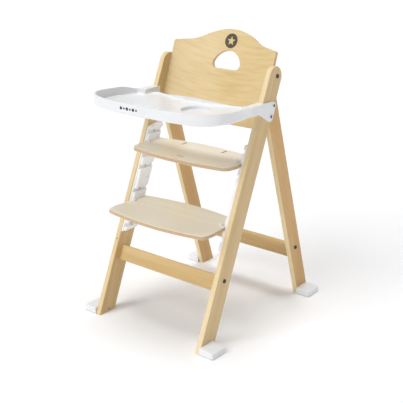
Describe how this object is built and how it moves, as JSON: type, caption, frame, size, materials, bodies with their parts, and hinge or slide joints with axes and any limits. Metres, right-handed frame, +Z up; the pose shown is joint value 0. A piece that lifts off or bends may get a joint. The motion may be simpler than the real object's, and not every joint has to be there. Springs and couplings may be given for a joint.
{
  "type": "baby high chair",
  "caption": "Wooden baby high chair with A-shaped plywood sides, bent backrest, height-adjustable seat and footrest plates, and a sliding white plastic tray.",
  "frame": {"origin": "on the floor, under the middle of the chair's box", "axes": "+Z up, +X to the right as seen from the front, +Y from the front to the back"},
  "size_m": [0.532, 0.606, 0.89],
  "materials": {
    "leg_wood": "birch boards, pale, satin lacquer",
    "bar_wood": "birch bars, satin lacquer",
    "backrest_ply": "bent birch plywood, satin lacquer",
    "plate_ply": "flat birch plywood, satin lacquer",
    "dowel_wood": "plain beech",
    "white_plastic": "moulded, soft gloss",
    "white_rail": "moulded, fine grain",
    "dark_steel": "blackened steel",
    "zinc_steel": "zinc plated",
    "brass": "plain",
    "rubber": "grey, non-marking",
    "badge": "thin printed disc"
  },
  "bodies": {
    "frame": {"front_leg_left": "leg_wood", "front_leg_right": "leg_wood", "rear_leg_left": "leg_wood", "rear_leg_right": "leg_wood", "mitre_dowels_left": "dowel_wood", "mitre_dowels_right": "dowel_wood", "front_crossbar": "bar_wood", "rear_crossbar": "bar_wood", "crossbar_bolts": "dark_steel", "barrel_nuts": "zinc_steel", "crossbar_dowels": "dowel_wood", "backrest": "backrest_ply", "backrest_badge": "badge", "backrest_bolts": "dark_steel", "backrest_inserts": "brass", "rail_left": "white_rail", "rail_right": "white_rail", "rail_screws_left": "zinc_steel", "rail_screws_right": "zinc_steel", "tray_bracket_left": "white_plastic", "tray_bracket_right": "white_plastic", "bracket_bolts": "dark_steel", "bracket_inserts": "brass", "arm_saddle_left": "white_plastic", "arm_saddle_right": "white_plastic", "latch_spring_left": "zinc_steel", "latch_spring_right": "zinc_steel", "front_foot_left": "white_plastic", "front_foot_right": "white_plastic", "rear_foot_left": "white_plastic", "rear_foot_right": "white_plastic", "front_foot_sole_left": "rubber", "front_foot_sole_right": "rubber", "rear_foot_sole_left": "rubber", "rear_foot_sole_right": "rubber", "foot_screws": "dark_steel"},
    "seat": {"seat_plate": "plate_ply"},
    "footrest": {"footrest_plate": "plate_ply"},
    "seat_lock_left": {"seat_knob_left": "white_plastic", "seat_cam_left": "zinc_steel"},
    "seat_lock_right": {"seat_knob_right": "white_plastic", "seat_cam_right": "zinc_steel"},
    "footrest_lock_left": {"footrest_knob_left": "white_plastic", "footrest_cam_left": "zinc_steel"},
    "footrest_lock_right": {"footrest_knob_right": "white_plastic", "footrest_cam_right": "zinc_steel"},
    "tray": {"tray": "white_plastic"},
    "tray_latch_left": {"tray_latch_left": "white_plastic"},
    "tray_latch_right": {"tray_latch_right": "white_plastic"}
  },
  "joints": [
    {"name": "seat_slide", "type": "slide", "parent": "frame", "child": "seat", "axis": [0, -1, 0], "range_m": [0, 0.11]},
    {"name": "footrest_slide", "type": "slide", "parent": "frame", "child": "footrest", "axis": [0, -1, 0], "range_m": [0, 0.11]},
    {"name": "seat_lock_left_turn", "type": "hinge", "parent": "seat", "child": "seat_lock_left", "pos_m": [-0.1768, -0.06887, 0.53632], "axis": [0, 0, -1], "range_deg": [0, 90]},
    {"name": "seat_lock_right_turn", "type": "hinge", "parent": "seat", "child": "seat_lock_right", "pos_m": [0.1768, -0.06887, 0.53632], "axis": [0, 0, 1], "range_deg": [0, 90]},
    {"name": "footrest_lock_left_turn", "type": "hinge", "parent": "footrest", "child": "footrest_lock_left", "pos_m": [-0.1768, -0.1456, 0.35702], "axis": [0, 0, -1], "range_deg": [0, 90]},
    {"name": "footrest_lock_right_turn", "type": "hinge", "parent": "footrest", "child": "footrest_lock_right", "pos_m": [0.1768, -0.1456, 0.35702], "axis": [0, 0, 1], "range_deg": [0, 90]},
    {"name": "tray_slide", "type": "slide", "parent": "frame", "child": "tray", "axis": [0, -1, 0], "range_m": [0, 0.04]},
    {"name": "tray_latch_left_push", "type": "slide", "parent": "frame", "child": "tray_latch_left", "axis": [-1, 0, 0], "range_m": [0, 0.0032], "stiffness_N_per_m": 500, "springref_m": -0.003, "deforming": ["latch_spring_left"]},
    {"name": "tray_latch_right_push", "type": "slide", "parent": "frame", "child": "tray_latch_right", "axis": [1, 0, 0], "range_m": [0, 0.0032], "stiffness_N_per_m": 500, "springref_m": -0.003, "deforming": ["latch_spring_right"]}
  ]
}
